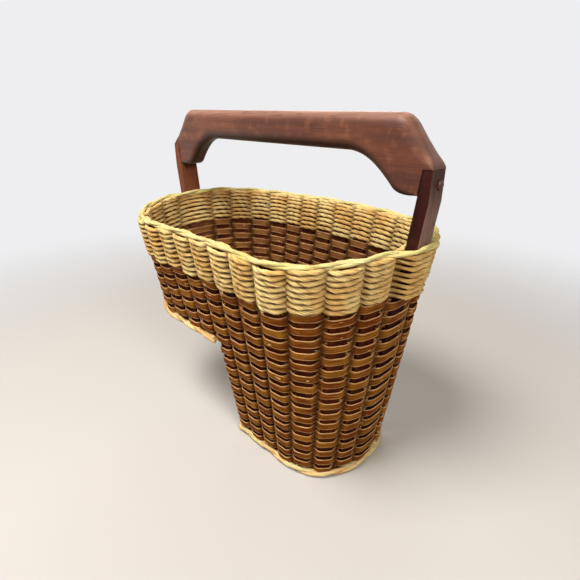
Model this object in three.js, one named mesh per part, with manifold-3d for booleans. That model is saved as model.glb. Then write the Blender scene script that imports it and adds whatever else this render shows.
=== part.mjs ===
// Stair basket: a woven basket with a step in its underside, so that it stands on two treads at once.
// Flat slats carry a weave of brown reed, a band of natural cord and a rope rim.
// Two posts rise out of the weave at the round ends and carry a shaped wooden grip.
// Millimetres, +Z up. +X points to the leg, which stands on the lower tread.
// The origin lies under the middle of the rim, at the level of the lower tread.
import * as THREE from "three";
import { mergeVertices } from "three/addons/utils/BufferGeometryUtils.js";
import Module from "manifold-3d";

// Driving dimensions of the body, on the middle of the wall
const STEP_HEIGHT = 185;
const UPPER_HEIGHT = 174; // from the step to the top of the weave
const BAND_HEIGHT = 59;
const RIM_LENGTH = 478.5;
const RIM_WIDTH = 308;
const LEG_LENGTH = 193;
const LEG_WIDTH = 180;
const UPPER_LENGTH = 225.5;
const END_ROUND = 133; // how far each end takes to round off, at the rim
const ROUNDNESS = 2.25; // power of the rounding: 2 is an ellipse, more is squarer
const END_RISE = 7; // of the top of the weave, at the posts
const END_DIP = 3.5; // of the top of the weave, where an end turns into a side
const RISE_SPAN = { dip: 0.6, level: 0.9 }; // shares of a quarter of the rim, from the post
const RISER_FACE = -3.5; // back of the leg, from the middle of the rim

// Slats and strands of the weave
const SLAT_TOP_WIDTH = 26;
const SLAT_FOOT_WIDTH = 19;
const SLAT_THICKNESS = 5;
const REED = 5.5; // how far the reed stands off a slat, with its own thickness
const CORD = 7.5; // the same for the cord
const RIB_THICKNESS = 3.5;
const FLOOR_REED = 1.8;
const LEG_SLATS = 6; // on each side, between the post and the corner
const UPPER_SLATS = 7;
const RISER_SLATS = 5;
const POST_COLUMN = 70; // width of the weave round a post, at the rim
const CORNER_INSET = 19; // from the riser's face to the middle of the corner slat
const CREST_MARGIN = 2; // a strand lies flat this far beyond a slat's edge

// Ropes
const RIM_ROPE = 9;
const RIM_ROPE_SET = 3.5; // outward from the middle of the wall
const RIM_ROPE_GAP = 0.5; // between the weave and the rope on it
const RIM_SWING = 0.8; // how far to each side of a post the rim swings, in widths of its column
const FOOT_ROPE = 9.5;
const FOOT_ROPE_SET = 4.5;
const FOOT_CORNER_RADIUS = 10;
const ROPE_SIDES = 8;
const ROPE_STEPS = 22; // along a quarter of the rim
const CORNER_STEPS = 4;

// Handle
const POST_WIDTH = 31;
const POST_THICKNESS = 16;
const TANG_THICKNESS = 6;
const POST_RISE = 102; // above the weave
const POST_SET = 7; // outward from the middle of the wall, at the top of the weave
const POST_LEAN = 0.12; // outward run for each millimetre of height
const POST_EDGE = 1.5;
const POST_UPRIGHT = 36; // height below a post's top over which its outer face stands upright
const LAP = 29; // height over which grip and post lie against each other
const GRIP_RISE = 58; // of the grip above the posts
const GRIP_DEPTH = 45;
const GRIP_EDGE = 13; // radius that the grip's long edges are rounded to
const LIP_EDGE = 7; // the same at the end of a knee
const LAP_EDGE = 0.6; // the same where grip and post meet
const EDGE_STEPS = 5;
const SHOULDER_RISE = 9; // upright part of the grip's end above the post
const SHOULDER_LEAN = 3;
const SLANT_EASE = 8; // along the top, on each side of the corner above the slant
const SLANT_DROP = 1.8;
const KNEE_LENGTH = 100; // from the post's inner face to where the grip's underside runs level
const KNEE = { start: 0.62, middle: 0.46, sag: 0.4, end: 0.27, endRise: 0.22, lip: 0.14, lipRise: 0.05, steps: 9 };
const PIN_DROP = 17; // below the post's top
const PIN_SIDE = 4; // beside the middle of the post
const PIN_HEAD = 10;
const PIN_DOME = 3.2;
const PIN_SHANK = 4.5;
const PIN_LENGTH = 32;
const PIN_STEPS = 4;
const PIN_SIDES = 16;

const FIT = 0.3; // clearance between pieces that touch

const WEAVE_TOP = STEP_HEIGHT + UPPER_HEIGHT;
const BAND_FOOT = WEAVE_TOP - BAND_HEIGHT;
const UPPER_WALL_FOOT = STEP_HEIGHT + FOOT_ROPE + FIT;
const LEG_WALL_FOOT = FOOT_ROPE + FIT;
const LEG_WALL_MIDDLE = (LEG_WALL_FOOT + UPPER_WALL_FOOT) / 2;
const PANEL_THICKNESS = SLAT_THICKNESS + 2 * REED;
const FLOOR_THICKNESS = RIB_THICKNESS + 2 * FLOOR_REED;
const RISER_ROPE = RISER_FACE + FOOT_ROPE / 2;
const POST_TOP = WEAVE_TOP + POST_RISE;
const LIP_LEVEL = POST_TOP - LAP;
const PIN_LEVEL = POST_TOP - PIN_DROP;
const GRIP_TOP = POST_TOP + GRIP_RISE;

const finish = (color, roughness, metalness = 0) =>
  new THREE.MeshStandardMaterial({ color, roughness, metalness });
const NATURAL_CORD = finish(0xd9b76e, 0.85);
const PALE_ROPE = finish(0xe8d389, 0.85);
const BROWN_REED = finish(0x85521f, 0.7);
const DARK_SLAT = finish(0x4a2814, 0.6);
const HARDWOOD = finish(0x7b4033, 0.5);
const POST_WOOD = finish(0x57392e, 0.55);
const BRONZE = finish(0x4c362a, 0.45, 0.8);

const wasm = await Module();
wasm.setup();
const basket = new THREE.Group();

function add(name, geometry, material) {
  const mesh = new THREE.Mesh(geometry, material);
  mesh.name = name;
  basket.add(mesh);
  return mesh;
}

// Solids for cuts and joins
function toSolid(geometry) {
  const bare = geometry.index ? geometry.toNonIndexed() : geometry.clone();
  bare.deleteAttribute("normal");
  bare.deleteAttribute("uv");
  const merged = mergeVertices(bare, 1e-4);
  const vertProperties = new Float32Array(merged.attributes.position.array);
  const triVerts = new Uint32Array(merged.index.array);
  return new wasm.Manifold(new wasm.Mesh({ numProp: 3, vertProperties, triVerts }));
}

function toGeometry(solid) {
  const mesh = solid.getMesh();
  const geometry = new THREE.BufferGeometry();
  geometry.setAttribute("position", new THREE.BufferAttribute(mesh.vertProperties, 3));
  geometry.setIndex(new THREE.BufferAttribute(mesh.triVerts, 1));
  return geometry;
}

// A prism lofted through level outlines { z, outline } with the same count of points,
// running anticlockwise seen from above.
function loft(sections) {
  const count = sections[0].outline.length;
  const positions = [];
  for (const { z, outline } of sections) {
    for (const point of outline) positions.push(point.x, point.y, point.z ?? z);
  }
  const index = [];
  for (let level = 0; level + 1 < sections.length; level++) {
    for (let i = 0; i < count; i++) {
      const here = level * count + i;
      const next = level * count + ((i + 1) % count);
      index.push(here, next, here + count, next, next + count, here + count);
    }
  }
  const top = (sections.length - 1) * count;
  for (const [i, j, k] of THREE.ShapeUtils.triangulateShape(sections[0].outline, [])) {
    index.push(i, k, j);
    index.push(top + i, top + j, top + k);
  }
  return indexed(positions, index);
}

// A strip of wall lofted from level to level. cellsAt gives, for each level, the cells round
// the slats: the outer face from A to B, the inner face from a to b, the slot that the slat stands in,
// and the groove [G, g] before the next cell, where both faces draw in.
const CELL_POINTS = 10;

function strip(levels, cellsAt, closed) {
  const positions = [];
  let cells = 0;
  for (const z of levels) {
    const row = cellsAt(z);
    cells = row.length;
    for (const { A, B, a, b, slot, groove } of row) {
      for (const point of [A, B, b, a, ...slot, ...groove]) positions.push(...point);
    }
  }
  const index = [];
  const rise = cells * CELL_POINTS;
  const top = rise * (levels.length - 1);
  const wall = (i, j) => {
    for (let low = 0; low < top; low += rise) {
      index.push(low + i, low + j, low + i + rise, low + j, low + j + rise, low + i + rise);
    }
  };
  const slotWall = (i, j) => {
    for (let low = 0; low < top; low += rise) {
      index.push(low + i, low + j, low + j + rise, low + i, low + j + rise, low + i + rise);
    }
  };
  const caps = (i, j, k, l) => {
    index.push(i, k, j, i, l, k);
    index.push(i + top, j + top, k + top, i + top, k + top, l + top);
  };
  for (let cell = 0; cell < cells; cell++) {
    const first = cell * CELL_POINTS;
    const [A, B, b, a, s0, s1, s2, s3, G, g] = Array.from({ length: CELL_POINTS }, (_, i) => first + i);
    wall(A, B);
    wall(b, a);
    slotWall(s0, s1);
    slotWall(s1, s2);
    slotWall(s2, s3);
    slotWall(s3, s0);
    caps(a, A, s3, s0);
    caps(A, B, s2, s3);
    caps(B, b, s1, s2);
    caps(b, a, s0, s1);
    const last = cell + 1 === cells;
    if (!closed && cell === 0) wall(a, A);
    if (!closed && last) {
      wall(B, b);
      continue;
    }
    const nextA = ((cell + 1) % cells) * CELL_POINTS;
    const nextIn = nextA + 3;
    wall(B, G);
    wall(G, nextA);
    wall(nextIn, g);
    wall(g, b);
    caps(b, B, G, g);
    caps(g, G, nextA, nextIn);
  }
  return indexed(positions, index);
}

function indexed(positions, index) {
  const geometry = new THREE.BufferGeometry();
  geometry.setAttribute("position", new THREE.Float32BufferAttribute(positions, 3));
  geometry.setIndex(index);
  return geometry;
}

// A rope swept along frames { p, n, lift }, with a round section that is flat underneath.
function rope(frames, level, diameter, closed) {
  const radius = diameter / 2 / Math.cos(Math.PI / ROPE_SIDES);
  const positions = [];
  for (const { p, n, lift = 0 } of frames) {
    for (let s = 0; s < ROPE_SIDES; s++) {
      const turn = ((s + 0.5) / ROPE_SIDES) * 2 * Math.PI;
      const out = radius * Math.cos(turn);
      positions.push(p.x + n.x * out, p.y + n.y * out, level + lift + radius * Math.sin(turn));
    }
  }
  const index = [];
  const rings = frames.length;
  for (let r = 0; r < (closed ? rings : rings - 1); r++) {
    const here = r * ROPE_SIDES;
    const next = ((r + 1) % rings) * ROPE_SIDES;
    for (let s = 0; s < ROPE_SIDES; s++) {
      const up = (s + 1) % ROPE_SIDES;
      index.push(here + s, next + s, next + up, here + s, next + up, here + up);
    }
  }
  if (!closed) {
    const end = (rings - 1) * ROPE_SIDES;
    for (let s = 1; s + 1 < ROPE_SIDES; s++) {
      index.push(0, s, s + 1);
      index.push(end, end + s + 1, end + s);
    }
  }
  return indexed(positions, index);
}

// Plan of the wall. Each level has four quarters, each running from a round end to the corner slat.
const CORNER_SLAT = RISER_FACE + CORNER_INSET;
const LEG = { sign: 1, slats: LEG_SLATS, stop: CORNER_SLAT };
const UPPER = { sign: -1, slats: UPPER_SLATS, stop: -CORNER_SLAT };

function wallAt(z, quarter) {
  const rise = z / WEAVE_TOP;
  const halfWidth = THREE.MathUtils.lerp(LEG_WIDTH, RIM_WIDTH, rise) / 2;
  const aboveStep = (z - STEP_HEIGHT) / (WEAVE_TOP - STEP_HEIGHT);
  const end =
    quarter === LEG
      ? THREE.MathUtils.lerp(LEG_LENGTH, RIM_LENGTH / 2, rise)
      : THREE.MathUtils.lerp(UPPER_LENGTH, RIM_LENGTH / 2, aboveStep);
  return { halfWidth, end, round: (END_ROUND * halfWidth) / (RIM_WIDTH / 2) };
}

const QUARTER_SAMPLES = 96;
const quarterCache = new Map();

function quarterPath(z, quarter) {
  const key = quarter.sign + " " + z;
  if (quarterCache.has(key)) return quarterCache.get(key);
  const { halfWidth, end, round } = wallAt(z, quarter);
  const points = [];
  for (let i = 0; i <= QUARTER_SAMPLES; i++) {
    const turn = (i / QUARTER_SAMPLES) * (Math.PI / 2);
    const along = Math.max(Math.cos(turn), 0) ** (2 / ROUNDNESS);
    const across = Math.sin(turn) ** (2 / ROUNDNESS);
    points.push(new THREE.Vector2(end - round + round * along, halfWidth * across));
  }
  points.push(new THREE.Vector2(quarter.stop, halfWidth));
  const lengths = [0];
  for (let i = 1; i < points.length; i++) {
    lengths.push(lengths[i - 1] + points[i].distanceTo(points[i - 1]));
  }
  const path = { points, lengths, total: lengths[lengths.length - 1] };
  quarterCache.set(key, path);
  return path;
}

function pointAlong({ points, lengths }, distance) {
  let i = 1;
  while (i + 1 < lengths.length && lengths[i] < distance) i++;
  const share = (distance - lengths[i - 1]) / (lengths[i] - lengths[i - 1]);
  return points[i - 1].clone().lerp(points[i], Math.min(share, 1));
}

// The top of the weave rises towards the posts and dips where the ends turn into the sides.
// The weave below it follows, less and less down to the level of the upper floor.
function riseAt(z, t) {
  const share = THREE.MathUtils.clamp((z - UPPER_WALL_FOOT) / (BAND_FOOT - UPPER_WALL_FOOT), 0, 1);
  if (t > RISE_SPAN.dip) {
    return -share * END_DIP * (1 - THREE.MathUtils.smoothstep(t, RISE_SPAN.dip, RISE_SPAN.level));
  }
  const fall = (1 - Math.cos((Math.PI * t) / RISE_SPAN.dip)) / 2;
  return share * THREE.MathUtils.lerp(END_RISE, -END_DIP, fall);
}

// The place on the wall at share t of a quarter, on side -1 (near) or 1 (far): the point p,
// the outward normal n and the anticlockwise tangent. The normal is square to a chord as wide as a slat.
function frameAt(z, quarter, side, t) {
  const path = quarterPath(z, quarter);
  const distance = t * path.total;
  const chord = SLAT_FOOT_WIDTH / 2;
  const p = pointAlong(path, distance);
  const before = pointAlong(path, Math.abs(distance - chord));
  if (distance < chord) before.y = -before.y;
  const after = pointAlong(path, Math.min(distance + chord, path.total));
  const run = after.sub(before).normalize();
  const n = new THREE.Vector2(run.y * quarter.sign, -run.x * side);
  const way = quarter.sign * side;
  return {
    p: new THREE.Vector2(p.x * quarter.sign, p.y * side),
    n,
    tangent: new THREE.Vector2(-n.y, n.x),
    z,
    quarter,
    lift: (along) => riseAt(z, Math.abs(t + (way * along) / path.total)),
  };
}

// Columns of the weave, each round one slat or post, anticlockwise from the leg's post
const RIM_QUARTER = quarterPath(WEAVE_TOP, LEG).total;
const POST_SHARE = POST_COLUMN / 2 / RIM_QUARTER;

function quarterPitch(quarter) {
  return (1 - POST_SHARE) / (quarter.slats + 0.5);
}

function slatShare(quarter, k) {
  return POST_SHARE + quarterPitch(quarter) * (k + 0.5);
}

function quarterColumns(quarter, side) {
  const columns = [];
  for (let k = 0; k < quarter.slats; k++) {
    columns.push({ quarter, side, t: slatShare(quarter, k), kind: "slat" });
  }
  return columns;
}

const cornerColumn = (side) => ({ quarter: LEG, side, t: 1, kind: "corner" });
const postColumn = (quarter) => ({ quarter, side: 1, t: 0, kind: "post" });
const LEG_FAR = quarterColumns(LEG, 1);
const LEG_NEAR = quarterColumns(LEG, -1).reverse();
const UPPER_FAR = quarterColumns(UPPER, 1).reverse();
const UPPER_NEAR = quarterColumns(UPPER, -1);
const RING_COLUMNS = [
  postColumn(LEG),
  ...LEG_FAR,
  cornerColumn(1),
  ...UPPER_FAR,
  postColumn(UPPER),
  ...UPPER_NEAR,
  cornerColumn(-1),
  ...LEG_NEAR,
];
const LEG_COLUMNS = [cornerColumn(-1), ...LEG_NEAR, postColumn(LEG), ...LEG_FAR, cornerColumn(1)];

const slatWidth = (z) => THREE.MathUtils.lerp(SLAT_FOOT_WIDTH, SLAT_TOP_WIDTH, z / WEAVE_TOP);
const postAxis = (z) => RIM_LENGTH / 2 + POST_SET + POST_LEAN * (z - WEAVE_TOP);

// What stands in a column at one height: its half width, half thickness and set outward from mid-wall
function coreAt(column, z, inBand) {
  if (column.kind !== "post") return { half: slatWidth(z) / 2, thick: SLAT_THICKNESS / 2, set: 0 };
  if (!inBand) return { half: POST_WIDTH / 2, thick: TANG_THICKNESS / 2, set: 0 };
  const set = postAxis(z + riseAt(z, 0)) - wallAt(z, column.quarter).end;
  return { half: POST_WIDTH / 2, thick: POST_THICKNESS / 2, set };
}

function offset(frame, along, out) {
  const { x, y } = frame.p.clone().addScaledVector(frame.tangent, along).addScaledVector(frame.n, out);
  return new THREE.Vector3(x, y, frame.z + frame.lift(along));
}

// The four corners of what stands in a column, or of its slot, in the order of a strip's cell
function corners(frame, half, thick, set = 0) {
  const corner = (along, out) => offset(frame, along * half, set + out * thick);
  return [corner(-1, -1), corner(1, -1), corner(1, 1), corner(-1, 1)];
}

// One cell of a strip round a core in a frame. The flat lengths run before and after the core's middle.
function cell(frame, { half, thick, set }, strand, before, after, groove) {
  const out = set + thick + strand;
  const back = set - thick - strand;
  const between = groove ?? frame;
  return {
    A: offset(frame, -before, out),
    B: offset(frame, after, out),
    a: offset(frame, -before, back),
    b: offset(frame, after, back),
    slot: corners(frame, half + FIT, thick + FIT, set),
    groove: [offset(between, 0, strand / 2), offset(between, 0, -strand / 2)],
  };
}

// The place between two neighbouring columns, where the strands cross from one face to the other
function grooveFrame(a, b, z) {
  const slatted = a.kind === "post" ? b : a;
  const quarter = slatted.kind === "corner" ? (a === slatted ? b : a).quarter : slatted.quarter;
  const side = slatted.side;
  if (a.kind === "post" || b.kind === "post") return frameAt(z, quarter, side, POST_SHARE);
  const shareOf = (column) => (column.kind === "corner" ? 1 : column.t);
  return frameAt(z, quarter, side, (shareOf(a) + shareOf(b)) / 2);
}

function wallCells(columns, z, strand, inBand, closed) {
  return columns.map((column, i) => {
    const frame = frameAt(z, column.quarter, column.side, column.t);
    const core = coreAt(column, z, inBand);
    const flat = core.half + CREST_MARGIN;
    const before = !closed && i === 0 ? CORNER_INSET : flat;
    const last = i + 1 === columns.length;
    const after = !closed && last ? CORNER_INSET : flat;
    const next = columns[(i + 1) % columns.length];
    const groove = closed || !last ? grooveFrame(column, next, z) : null;
    return cell(frame, core, strand, before, after, groove);
  });
}

const bandCells = (z) => wallCells(RING_COLUMNS, z, CORD, true, true);
const upperCells = (z) => wallCells(RING_COLUMNS, z, REED, false, true);
const legCells = (z) => wallCells(LEG_COLUMNS, z, REED, false, false);
add("cord_band", strip([BAND_FOOT + FIT, WEAVE_TOP], bandCells, true), NATURAL_CORD);
add("upper_wall", strip([UPPER_WALL_FOOT, BAND_FOOT], upperCells, true), BROWN_REED);
add("leg_wall", strip([LEG_WALL_FOOT, LEG_WALL_MIDDLE, UPPER_WALL_FOOT - FIT], legCells, false), BROWN_REED);

// Slats of the wall, each tapering towards the foot
function slat(column, foot) {
  const breaks = [foot, LEG_WALL_MIDDLE, UPPER_WALL_FOOT, BAND_FOOT, WEAVE_TOP];
  const sections = breaks.filter((z, i) => i === 0 || z > foot).map((z) => {
    const frame = frameAt(z, column.quarter, column.side, column.t);
    const { half, thick } = coreAt(column, z, false);
    return { z, outline: corners(frame, half, thick).reverse() };
  });
  return loft(sections);
}

for (const [side, word] of [[-1, "near"], [1, "far"]]) {
  quarterColumns(LEG, side).forEach((column, k) =>
    add(`leg_slat_${word}_${k + 1}`, slat(column, LEG_WALL_FOOT), DARK_SLAT));
  quarterColumns(UPPER, side).forEach((column, k) =>
    add(`upper_slat_${word}_${k + 1}`, slat(column, UPPER_WALL_FOOT), DARK_SLAT));
  add(`corner_slat_${word}`, slat(cornerColumn(side), LEG_WALL_FOOT), DARK_SLAT);
}

// The riser panel closes the leg towards the step and has slats of its own
const RISER_TOP = STEP_HEIGHT + FOOT_ROPE - FLOOR_THICKNESS - 2 * FIT;
const riserOut = new THREE.Vector2(-1, 0);
const riserTangent = new THREE.Vector2(0, -1);
const riserPitch = (z) => (2 * wallAt(z, LEG).halfWidth) / (RISER_SLATS + 1);
const riserPlace = (z, k) => (k - (RISER_SLATS - 1) / 2) * riserPitch(z);
const riserFrame = (z, y) => ({
  p: new THREE.Vector2(RISER_FACE + PANEL_THICKNESS / 2, y),
  n: riserOut,
  tangent: riserTangent,
  z,
  lift: () => 0,
});

function riserCells(z) {
  const edge = wallAt(z, LEG).halfWidth - PANEL_THICKNESS / 2 - FIT;
  const half = slatWidth(z) / 2;
  const flat = half + CREST_MARGIN;
  const ending = edge - riserPlace(z, RISER_SLATS - 1);
  const cells = [];
  for (let k = RISER_SLATS - 1; k >= 0; k--) {
    const y = riserPlace(z, k);
    const first = k === RISER_SLATS - 1;
    const groove = k > 0 ? riserFrame(z, y - riserPitch(z) / 2) : null;
    const core = { half, thick: SLAT_THICKNESS / 2, set: 0 };
    cells.push(cell(riserFrame(z, y), core, REED, first ? ending : flat, k > 0 ? flat : ending, groove));
  }
  return cells;
}

add("riser_panel", strip([LEG_WALL_FOOT, RISER_TOP], riserCells, false), BROWN_REED);
for (let k = 0; k < RISER_SLATS; k++) {
  const sections = [LEG_WALL_FOOT, RISER_TOP].map((z) => ({
    z,
    outline: corners(riserFrame(z, riserPlace(z, k)), slatWidth(z) / 2, SLAT_THICKNESS / 2).reverse(),
  }));
  add(`riser_slat_${k + 1}`, loft(sections), DARK_SLAT);
}

// Foot ropes: a closed loop under the leg, and a U under the upper floor with its ends cut at the riser
function ropeFrames(z, quarter, side, out) {
  const frames = [];
  for (let i = 0; i <= ROPE_STEPS; i++) {
    const frame = frameAt(z, quarter, side, i / ROPE_STEPS);
    const set = typeof out === "function" ? out(frame) : out;
    frames.push({ p: frame.p.clone().addScaledVector(frame.n, set), n: frame.n, lift: frame.lift(0) });
  }
  return frames;
}

function legFootFrames() {
  const far = ropeFrames(0, LEG, 1, FOOT_ROPE_SET);
  const near = ropeFrames(0, LEG, -1, FOOT_ROPE_SET).reverse();
  const half = wallAt(0, LEG).halfWidth + FOOT_ROPE_SET;
  const centre = RISER_ROPE + FOOT_CORNER_RADIUS;
  const corner = (side) => {
    const frames = [];
    for (let i = 1; i <= CORNER_STEPS; i++) {
      const turn = (i / CORNER_STEPS) * (Math.PI / 2);
      const n = new THREE.Vector2(-Math.sin(turn), Math.cos(turn) * side);
      const y = side * (half - FOOT_CORNER_RADIUS);
      frames.push({ p: new THREE.Vector2(centre, y).addScaledVector(n, FOOT_CORNER_RADIUS), n });
    }
    return frames;
  };
  return [...near.slice(0, -1), ...far, ...corner(1), ...corner(-1).reverse()];
}

add("leg_foot_rope", rope(legFootFrames(), FOOT_ROPE / 2, FOOT_ROPE, true), PALE_ROPE);

function upperFootFrames() {
  const clear = (frame) => frame.p.x < RISER_FACE - FOOT_ROPE;
  const far = ropeFrames(STEP_HEIGHT, UPPER, 1, FOOT_ROPE_SET).filter(clear).reverse();
  const near = ropeFrames(STEP_HEIGHT, UPPER, -1, FOOT_ROPE_SET).filter(clear);
  const half = wallAt(STEP_HEIGHT, UPPER).halfWidth + FOOT_ROPE_SET;
  const cutEnd = (side) => ({
    p: new THREE.Vector2(RISER_FACE - FIT, side * half),
    n: new THREE.Vector2(0, side),
  });
  return [cutEnd(1), ...far, ...near.slice(1), cutEnd(-1)];
}

const upperFootLevel = STEP_HEIGHT + FOOT_ROPE / 2;
add("upper_foot_rope", rope(upperFootFrames(), upperFootLevel, FOOT_ROPE, false), PALE_ROPE);

// A floor fills its foot rope. Its ribs run lengthwise in pockets that open at the riser.
const FLOOR_INSET = FOOT_ROPE / 2 + FIT;
const STRAIGHT = 1e-3; // a point this close to the line between its neighbours is left out

function withoutStraights(points) {
  return points.filter((point, i) => {
    const before = points.at(i - 1);
    const run = points[(i + 1) % points.length].clone().sub(before);
    const step = point.clone().sub(before);
    return Math.abs(run.cross(step)) > STRAIGHT * run.length();
  });
}

function floorPanel(quarter, level, frames, riserSide) {
  const outline = frames.map(({ p, n }) => p.clone().addScaledVector(n, -FLOOR_INSET));
  const { halfWidth, end, round } = wallAt(level, quarter);
  const edge = halfWidth + FOOT_ROPE_SET - FLOOR_INSET;
  if (quarter === UPPER) {
    const cut = RISER_FACE - FIT;
    const between = halfWidth - PANEL_THICKNESS / 2 - FIT;
    outline.push(new THREE.Vector2(cut, -between), new THREE.Vector2(riserSide, -between));
    outline.push(new THREE.Vector2(riserSide, between), new THREE.Vector2(cut, between));
  }
  const top = level + FOOT_ROPE - FIT;
  const bottom = top - FLOOR_THICKNESS;
  const shape = withoutStraights(outline);
  let panel = toSolid(loft([bottom, top].map((z) => ({ z, outline: shape }))));
  const width = slatWidth(level);
  const ribs = [];
  for (let k = 0; k < RISER_SLATS; k++) {
    const y = riserPlace(level, k);
    const reach = Math.min((Math.abs(y) + width / 2) / edge, 1);
    const bow = round * (1 - reach ** ROUNDNESS) ** (1 / ROUNDNESS);
    const tip = quarter.sign * (end - round + bow - 2 * FLOOR_INSET);
    const length = Math.abs(tip - riserSide);
    const middle = (tip + riserSide) / 2;
    const rib = new THREE.BoxGeometry(length, width, RIB_THICKNESS);
    rib.translate(middle, y, (top + bottom) / 2);
    ribs.push(rib);
    const pocket = new THREE.BoxGeometry(length + 2 * FIT, width + 2 * FIT, RIB_THICKNESS + 2 * FIT);
    pocket.translate(middle, y, (top + bottom) / 2);
    panel = panel.subtract(toSolid(pocket));
  }
  return { panel: toGeometry(panel), ribs };
}

const upperFloor = floorPanel(UPPER, STEP_HEIGHT, upperFootFrames(), RISER_FACE + PANEL_THICKNESS);
add("upper_floor", upperFloor.panel, BROWN_REED);
upperFloor.ribs.forEach((rib, k) => add(`upper_floor_rib_${k + 1}`, rib, DARK_SLAT));

const legFloor = floorPanel(LEG, 0, legFootFrames(), RISER_ROPE + FLOOR_INSET);
add("leg_floor", legFloor.panel, BROWN_REED);
legFloor.ribs.forEach((rib, k) => add(`leg_floor_rib_${k + 1}`, rib, DARK_SLAT));

// Rim rope: it lies on the weave, and passes outside the leg's post and inside the other one
const rimLevel = WEAVE_TOP + RIM_ROPE_GAP + RIM_ROPE / 2;
function rimSet(frame) {
  const beside = POST_THICKNESS / 2 + FIT + RIM_ROPE / 2;
  const post = postAxis(rimLevel + END_RISE) - RIM_LENGTH / 2;
  const straight = Math.min(RIM_LENGTH / 2 - Math.abs(frame.p.x), POST_EDGE);
  const pass = frame.quarter === LEG ? post + beside + straight : post - beside;
  const clear = THREE.MathUtils.smoothstep(Math.abs(frame.p.y), POST_WIDTH / 2, RIM_SWING * POST_COLUMN);
  return THREE.MathUtils.lerp(pass, RIM_ROPE_SET, clear);
}

function rimFrames() {
  const legFar = ropeFrames(WEAVE_TOP, LEG, 1, rimSet);
  const upperFar = ropeFrames(WEAVE_TOP, UPPER, 1, rimSet).reverse();
  const upperNear = ropeFrames(WEAVE_TOP, UPPER, -1, rimSet);
  const legNear = ropeFrames(WEAVE_TOP, LEG, -1, rimSet).reverse();
  return [...legFar.slice(0, -1), ...upperFar, ...upperNear.slice(1), ...legNear.slice(1, -1)];
}

add("rim_rope", rope(rimFrames(), rimLevel, RIM_ROPE, true), PALE_ROPE);

// Handle. Each end is drawn at +X; the upper end is turned half round.
const postOuter = (z) => postAxis(Math.min(z, POST_TOP - POST_UPRIGHT)) + POST_THICKNESS / 2;
const postInner = (z) => postAxis(z) - POST_THICKNESS / 2;

// A plank: an outline in the XZ plane given a width along Y. Each point { x, z, edge } of the outline,
// which runs anticlockwise seen from -Y, has its own radius of rounding towards the two faces.
function plank(outline, width) {
  const count = outline.length;
  const points = outline.map(({ x, z }) => new THREE.Vector2(x, z));
  const inward = points.map((point, i) => {
    const run = points[(i + 1) % count].clone().sub(point).normalize();
    return new THREE.Vector2(-run.y, run.x);
  });
  const mitre = inward.map((normal, i) => {
    const sum = normal.clone().add(inward.at(i - 1));
    return sum.divideScalar(sum.dot(normal));
  });
  const positions = [];
  const ring = (side, step) => {
    const turn = (step / EDGE_STEPS) * (Math.PI / 2);
    points.forEach((point, i) => {
      const { edge } = outline[i];
      const { x, y } = point.clone().addScaledVector(mitre[i], edge * (1 - Math.cos(turn)));
      positions.push(x, side * (width / 2 - edge * (1 - Math.sin(turn))), y);
    });
  };
  for (let step = EDGE_STEPS; step >= 0; step--) ring(-1, step);
  for (let step = 0; step <= EDGE_STEPS; step++) ring(1, step);
  const index = [];
  const rings = 2 * (EDGE_STEPS + 1);
  for (let r = 0; r + 1 < rings; r++) {
    for (let i = 0; i < count; i++) {
      const here = r * count + i;
      const next = r * count + ((i + 1) % count);
      index.push(here, here + count, next, next, here + count, next + count);
    }
  }
  const face = points.map((point, i) => point.clone().addScaledVector(mitre[i], outline[i].edge));
  const last = (rings - 1) * count;
  for (const [a, b, c] of THREE.ShapeUtils.triangulateShape(face, [])) {
    index.push(a, b, c);
    index.push(last + a, last + c, last + b);
  }
  return indexed(positions, index);
}

function alongPin(geometry) {
  geometry.rotateZ(-Math.PI / 2);
  geometry.translate(postOuter(PIN_LEVEL), PIN_SIDE, PIN_LEVEL);
  return geometry;
}

// A pin: domed head on the post's outer face, shank through the post into the grip
function pin(clearance) {
  const head = PIN_HEAD / 2;
  const shank = PIN_SHANK / 2 + clearance;
  const profile = [new THREE.Vector2(0, -PIN_LENGTH - clearance), new THREE.Vector2(shank, -PIN_LENGTH - clearance)];
  const seat = clearance > 0 ? head : FIT;
  profile.push(new THREE.Vector2(shank, seat));
  if (clearance === 0) {
    for (let i = 0; i <= PIN_STEPS; i++) {
      const turn = (i / PIN_STEPS) * (Math.PI / 2);
      profile.push(new THREE.Vector2(head * Math.cos(turn), FIT + PIN_DOME * Math.sin(turn)));
    }
  } else {
    profile.push(new THREE.Vector2(0, seat));
  }
  profile[profile.length - 1].x = 0;
  return alongPin(new THREE.LatheGeometry(profile, PIN_SIDES));
}

// A post: a flat bar above the foot of the band, thinned to a tang that is woven in below it
function post(quarter, foot) {
  const section = (z, middle, thickness) => {
    const out = thickness / 2;
    const across = POST_WIDTH / 2;
    const ring = [
      [out - POST_EDGE, -across],
      [out, POST_EDGE - across],
      [out, across - POST_EDGE],
      [out - POST_EDGE, across],
    ];
    const outline = [...ring, ...ring.map(([x, y]) => [-x, -y])];
    return { z, outline: outline.map(([x, y]) => new THREE.Vector2(middle + x, y)) };
  };
  const lift = (z) => frameAt(z, quarter, 1, 0).lift(POST_WIDTH / 2 + FIT);
  const tang = (z) => section(z + lift(z), wallAt(z, quarter).end, TANG_THICKNESS);
  const bar = (z) => section(z, (postOuter(z) + postInner(z)) / 2, postOuter(z) - postInner(z));
  const tangs = [foot, UPPER_WALL_FOOT, BAND_FOOT].filter((z, i) => i === 0 || z > foot).map(tang);
  const bars = [BAND_FOOT + FIT + lift(BAND_FOOT), POST_TOP - POST_UPRIGHT, POST_TOP].map(bar);
  const body = loft([...tangs, ...bars]);
  return toGeometry(toSolid(body).subtract(toSolid(pin(FIT))));
}

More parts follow.
